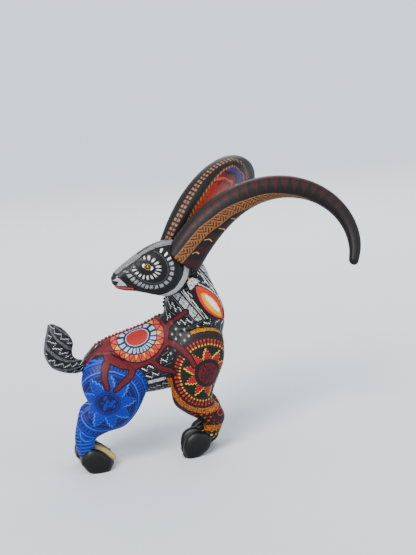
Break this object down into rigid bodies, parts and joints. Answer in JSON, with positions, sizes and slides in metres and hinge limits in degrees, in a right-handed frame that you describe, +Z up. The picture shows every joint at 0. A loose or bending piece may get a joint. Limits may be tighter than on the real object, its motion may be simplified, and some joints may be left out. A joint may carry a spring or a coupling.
{
  "type": "carved ibex figure",
  "caption": "Carved and painted wooden ibex standing on cloven hooves and looking back, with pegged, removable sweeping horns, ears and tail.",
  "frame": {"origin": "middle of the whole figure's bounding box, on the ground under the hooves", "axes": "+X the way the body faces, +Z up, -Y the animal's right side, which the turned head looks over"},
  "size_m": [0.3102, 0.1725, 0.2932],
  "materials": {
    "torso_paint": "satin hand-painted, fine crimson branches, medallions and stepped frets on black",
    "neck_paint": "satin hand-painted, white stepped frets and grey speckle on black",
    "head_paint": "satin hand-painted, grey speckled band, radial dashes and tiles on black",
    "back_crest_paint": "satin crimson beads",
    "neck_crest_paint": "satin black beads",
    "tail_paint": "satin hand-painted, grey bands and white stepped lines on black",
    "horn_paint": "satin hand-painted, red-brown zigzags, tan key pattern on umber black",
    "ear_paint": "satin hand-painted leaf in orange, yellow and white",
    "foreleg_paint": "satin hand-painted, crimson and yellow rings on maroon black",
    "hindleg_paint": "satin hand-painted, navy and sky-blue rings and frets on cobalt",
    "hoof_paint": "satin black",
    "bare_wood": "bare turned wood"
  },
  "bodies": {
    "root": {"torso": "torso_paint", "neck": "neck_paint", "head": "head_paint", "back_crest": "back_crest_paint", "neck_crest": "neck_crest_paint", "neck_dowel": "bare_wood", "head_dowel": "bare_wood", "foreleg_left": "foreleg_paint", "foreleg_left_hoof": "hoof_paint", "foreleg_left_dowel": "bare_wood", "foreleg_right": "foreleg_paint", "foreleg_right_hoof": "hoof_paint", "foreleg_right_dowel": "bare_wood", "hindleg_left": "hindleg_paint", "hindleg_left_hoof": "hoof_paint", "hindleg_left_dowel": "bare_wood", "hindleg_right": "hindleg_paint", "hindleg_right_hoof": "hoof_paint", "hindleg_right_dowel": "bare_wood"},
    "horn_left": {"horn_left": "horn_paint", "horn_left_peg": "bare_wood"},
    "horn_right": {"horn_right": "horn_paint", "horn_right_peg": "bare_wood"},
    "ear_left": {"ear_left": "ear_paint", "ear_left_peg": "bare_wood"},
    "ear_right": {"ear_right": "ear_paint", "ear_right_peg": "bare_wood"},
    "tail": {"tail": "tail_paint", "tail_peg": "bare_wood"}
  },
  "joints": [
    {"name": "horn_left_pull", "type": "slide", "parent": "root", "child": "horn_left", "axis": [0.614, 0.0685, 0.7864], "range_m": [0, 0.014]},
    {"name": "horn_right_pull", "type": "slide", "parent": "root", "child": "horn_right", "axis": [0.4183, 0.0479, 0.907], "range_m": [0, 0.014]},
    {"name": "ear_left_pull", "type": "slide", "parent": "root", "child": "ear_left", "axis": [0.5747, -0.2791, -0.7693], "range_m": [0, 0.008]},
    {"name": "ear_right_pull", "type": "slide", "parent": "root", "child": "ear_right", "axis": [0.3326, 0.8521, -0.4041], "range_m": [0, 0.008]},
    {"name": "tail_pull", "type": "slide", "parent": "root", "child": "tail", "axis": [-1, 0, 0], "range_m": [0, 0.014]}
  ]
}
